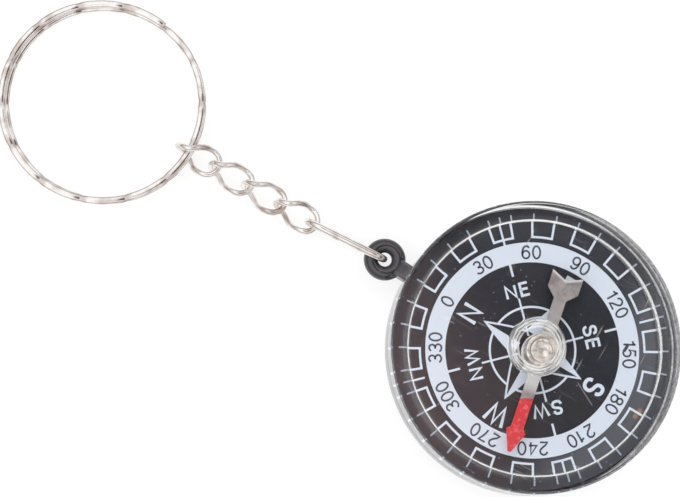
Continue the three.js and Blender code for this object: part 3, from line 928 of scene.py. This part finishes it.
def rose(bm):
    """The four-pointed star, filled on one side of each point, and the circle round it."""
    side = star_side()
    edge = []
    for k, p in enumerate(side):
        along = (side[min(k + 1, len(side) - 1)] - side[max(k - 1, 0)]).normalized()
        moved = p + STAR_EDGE * Vector((along.y, -along.x))
        edge.append((max(0.0, moved.x), moved.y))
    side = [tuple(p) for p in side]
    inner, outer = ROSE_CIRCLE - ROSE_LINE / 2, ROSE_CIRCLE + ROSE_LINE / 2
    for bearing in (0, 90, 180, 270):
        arc_slab(bm, bearing + ROSE_GAP, bearing + 90 - ROSE_GAP, inner, outer, PRINT + INK)
        slab(bm, turned_to(bearing, side + [(0.0, STAR_HEART)], -1), PRINT, PRINT + 1.2 * INK)
        slab(bm, turned_to(bearing, side + edge[:0:-1]), PRINT, PRINT + 1.2 * INK)


def laid_on_card(bm):
    """Moves the print to where it sits on the card, a little turned and off the middle."""
    bmesh.ops.rotate(bm, matrix=Matrix.Rotation(-PRINT_TURN, 3, "Z"), verts=bm.verts)
    bmesh.ops.translate(bm, vec=PRINT_OFF_MIDDLE, verts=bm.verts)


def pale_print(finish):
    bm = bmesh.new()
    inner, outer = NUMBER_RING
    band = [(inner, PRINT), (outer, PRINT), (outer, PRINT + INK), (inner, PRINT + INK)]
    turned(bm, band, segments=240)
    castle_lines(bm)
    rose(bm)
    signs = plain_strokes()
    top = PRINT + 1.5 * INK
    for text, bearing, r in MAIN_LETTERS:
        letters(bm, signs, text, bearing, r, MAIN_SIZE, MAIN_STROKE, PRINT, top)
    for text, bearing in CORNER_LETTERS:
        letters(bm, signs, text, bearing, CORNER_LETTERS_OUT, CORNER_SIZE, CORNER_STROKE, PRINT, top,
                CORNER_STRETCH, CORNER_SPACING)
    laid_on_card(bm)
    piece("pale_print_on_card", bm, finish, "case", smooth=0)


def slate_numbers(finish):
    bm = bmesh.new()
    middle = sum(NUMBER_RING) / 2
    signs = plain_strokes()
    low, high = PRINT + INK, PRINT + 1.6 * INK
    for k, slip in enumerate(NUMBER_SLIPS):
        letters(bm, signs, str(30 * k), 30 * k + slip, middle, NUMBER_SIZE, NUMBER_STROKE, low, high,
                NUMBER_STRETCH)
    stroke(bm, [at(*p) for p in INK_SMEAR], INK_SMEAR_WIDTH, low, PRINT + 1.7 * INK)
    laid_on_card(bm)
    piece("slate_numbers_on_card", bm, finish, "case", smooth=0)


def turned_cap(finish):
    bearing_and_neck = [(0, 6.9), (0.9, 6.2), (0.9, 4.18), (2.0, 4.18), (2.0, 4.58), (1.5, 4.58), (1.5, 5.02)]
    head = [(2.5, 5.02), (2.55, 5.07)] + rounded(2.25, 7.9, 0.3, 0, 90)
    rim_and_groove = [(2.05, 8.2), (1.97, 8.16), (1.87, 8.04), (1.79, 8.0), (1.62, 8.0), (1.56, 8.03)]
    ridge = [(1.48, 8.04), (1.40, 8.03), (1.34, 8.0), (1.1, 8.0)]
    dish = [(0.9, 7.95), (0.6, 7.88), (0.3, 7.83), (0, 7.82)]
    profile = bearing_and_neck + head + rim_and_groove + ridge + dish
    bm = turned(bmesh.new(), held(profile, 0.03), segments=128)
    bmesh.ops.translate(bm, vec=PIVOT, verts=bm.verts)
    made = piece("turned_needle_cap", bm, finish, "needle", smooth=40)
    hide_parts("needle_cap")


def wire_link(name, node, body, finish, centre, straight, bend, rolls, radius, moved=Matrix()):
    path = wire_loop(centre, straight, bend, *rolls, WIRE_ROWS)
    bm = swept(bmesh.new(), path, radius, WIRE_SIDES)
    bmesh.ops.transform(bm, matrix=moved, verts=bm.verts)
    made = piece(name, bm, finish, body, smooth=60)
    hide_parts(node)


def split_ring(finish):
    """Flat wire wound nearly two turns, crowned on top and nipped in at each stamped notch."""
    bm = bmesh.new()
    sweep = 4 * math.pi - RING_STEP - RING_TAIL
    pitch = 2 * math.pi / RING_NOTCHES
    rows = []
    for k in range(RING_ROWS + 1):
        angle = sweep * k / RING_ROWS
        rise = soft_step(angle, 2 * math.pi - RING_STEP, 2 * math.pi)
        offset = abs((angle - RING_PHASE + pitch / 2) % pitch - pitch / 2) / NOTCH_HALF
        notch = max(0.0, 1 - offset) ** NOTCH_POINT
        wide = RING_WIDE - NOTCH_NIP * notch
        high = RING_HIGH - NOTCH_DIP * notch
        shift = RING_SHIFT * (0.5 - rise)
        turn = RING_START - angle
        row = []
        for s in range(RING_SIDES):
            a = 2 * math.pi * s / RING_SIDES
            c, d = math.cos(a), math.sin(a)
            out = wide * math.copysign(abs(c) ** RING_SIDE_CROWN, c)
            r = RING_RADIUS - RING_TIGHTENING * (1 - rise) + out
            z = RING_RISE * (rise - 0.5) + high * math.copysign(abs(d) ** RING_TOP_CROWN, d)
            x = shift * math.cos(RING_SHIFT_WAY) + r * math.cos(turn)
            y = shift * math.sin(RING_SHIFT_WAY) + r * math.sin(turn)
            row.append(bm.verts.new((x, y, z)))
        rows.append(row)
    tube(bm, rows, False)
    tilted = Matrix.Rotation(-RING_TILT, 4, "X") @ Matrix.Translation((0, RING_RADIUS, 0))
    bmesh.ops.transform(bm, matrix=Matrix.Translation(RING_NEAR) @ tilted, verts=bm.verts)
    made = piece("split_key_ring", bm, finish, "ring", smooth=50)
    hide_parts("key_ring")


def table():
    """A pale floor that the camera, metal and clear plastic see as white, with the object's shadow on it."""
    f = material("pale_table")
    plain = f.node("ShaderNodeBsdfDiffuse", {}, Color=grey(TABLE_SHADE))
    glow = f.node("ShaderNodeEmission", {}, Color=grey(1.0), Strength=1.0)
    lit = f.node("ShaderNodeBsdfDiffuse", {}, Color=grey(1.0))
    seen = f.node("ShaderNodeMixShader", {}, SHADOW_SHARE, glow, lit)
    path = f.node("ShaderNodeLightPath", out="Is Camera Ray")
    outs = path.socket.node.outputs
    watched = path.most(Reading(f, outs["Is Glossy Ray"])).most(Reading(f, outs["Is Transmission Ray"]))
    finish = f.ends(f.node("ShaderNodeMixShader", {}, watched, plain, seen))
    bm = bmesh.new()
    corners = ((-1, -1), (1, -1), (1, 1), (-1, 1))
    bm.faces.new([bm.verts.new((x * TABLE_REACH, y * TABLE_REACH, TABLE_SUNK)) for x, y in corners])
    mesh = bpy.data.meshes.new("pale_table")
    bm.to_mesh(mesh)
    bm.free()
    mesh.materials.append(finish)
    top = bpy.data.objects.new("pale_table", mesh)
    bpy.context.collection.objects.link(top)


def studio_light():
    """A bright ceiling over darker walls, a dark panel with a warm patch overhead, and two softboxes."""
    world = bpy.data.worlds.new("soft_studio")
    bpy.context.scene.world = world
    f = Finish(world)
    way = f.node("ShaderNodeTexCoord", out="Generated")
    height = f.east_north_height(way)[2]
    stops = [
        (0.0, (0.42, 0.39, 0.38, 1)),
        (0.12, (0.19, 0.155, 0.145, 1)),
        (0.34, (0.50, 0.475, 0.46, 1)),
        (0.62, (0.68, 0.665, 0.655, 1)),
        (0.80, grey(0.97)),
        (1.0, grey(1.0)),
    ]
    walls = f.node("ShaderNodeValToRGB", {"stops": stops}, height)

    def patch(direction, edge):
        return f.toward(way, direction).rises(*(math.cos(math.radians(v)) for v in edge))

    panel = patch(PANEL_WAY, PANEL_EDGE)
    warm = patch(WARM_WAY, WARM_EDGE)
    sky = f.blend(panel, walls, f.blend(warm, grey(PANEL_SHADE), WARM_SHADE))
    f.ends(f.node("ShaderNodeBackground", {}, sky, SKY_STRENGTH), "ShaderNodeOutputWorld")
    for name, spot, size, power in SOFTBOXES:
        lamp = bpy.data.lights.new(name, "AREA")
        lamp.size = size
        lamp.energy = power
        made = bpy.data.objects.new(name, lamp)
        made.location = spot
        made.rotation_euler = (Vector(LIGHT_AIM) - Vector(spot)).to_track_quat("-Z", "Y").to_euler()
        made.visible_glossy = False
        bpy.context.collection.objects.link(made)


def place_camera():
    lens = bpy.data.cameras.new("camera")
    lens.sensor_width = CAMERA_SENSOR
    lens.sensor_fit = "HORIZONTAL"
    lens.lens = CAMERA_LENS
    lens.clip_start = 0.01
    eye = bpy.data.objects.new("camera", lens)
    turn = Matrix((CAMERA_RIGHT, CAMERA_UP, CAMERA_BACK)).transposed().to_4x4()
    eye.matrix_world = Matrix.Translation(CAMERA_SPOT) @ turn
    bpy.context.collection.objects.link(eye)
    bpy.context.scene.camera = eye


place_camera()
table()
studio_light()
bpy.context.scene.view_settings.view_transform = "Standard"

clear_cover(clear_moulding())
black_base(black_moulding())
pale_print(printed_ink("pale_print", PALE_INK, PALE_INK_WORN, PALE_INK_PAINTED_SHADE))
slate_numbers(printed_ink("slate_print", SLATE_INK, SLATE_INK_WORN_AND_SHADED, SLATE_INK_WORN_AND_SHADED))
turned_cap(turned_metal("turned_aluminium", ALUMINIUM, ALUMINIUM_STAIN_AND_SHADE, CAP_RING_PITCH))

for name, finish in (
    ("dial_card", black_card()),
    ("needle_blade", needle_finish()),
    ("pivot_pin", turned_metal("turned_brass", BRASS, BRASS_STAINED, PIN_RING_PITCH)),
):
    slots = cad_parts[name].data.materials
    slots.clear()
    slots.append(finish)
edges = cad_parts["needle_blade"].modifiers.new("worn_edges", "BEVEL")
edges.width = BLADE_EDGE_WEAR * MM
edges.segments = 2

nickel = nickel_plate("bright_nickel")
wire_link("long_wire_link", "connector_link", "connector", nickel,
          (0, 0, 0), CONNECTOR_STRAIGHT, CONNECTOR_BEND, (QUARTER + CONNECTOR_LEAN,) * 2, CONNECTOR_WIRE,
          Matrix.Translation(CONNECTOR_MIDDLE) @ Matrix.Rotation(CONNECTOR_SLANT, 4, "Z"))
for k in range(4):
    lean = LINK_LEAN if k < 3 else 0
    wire_link(f"curb_link_{k + 1}", f"chain_link_{k + 1}", f"link_{k + 1}", nickel,
              (0, FIRST_LINK + LINK_PITCH * k, CHAIN_HEIGHT), LINK_STRAIGHT, LINK_BEND,
              (-lean, QUARTER - lean), LINK_WIRE)
split_ring(nickel_plate("bright_nickel_of_ring", ring_notch_shade))
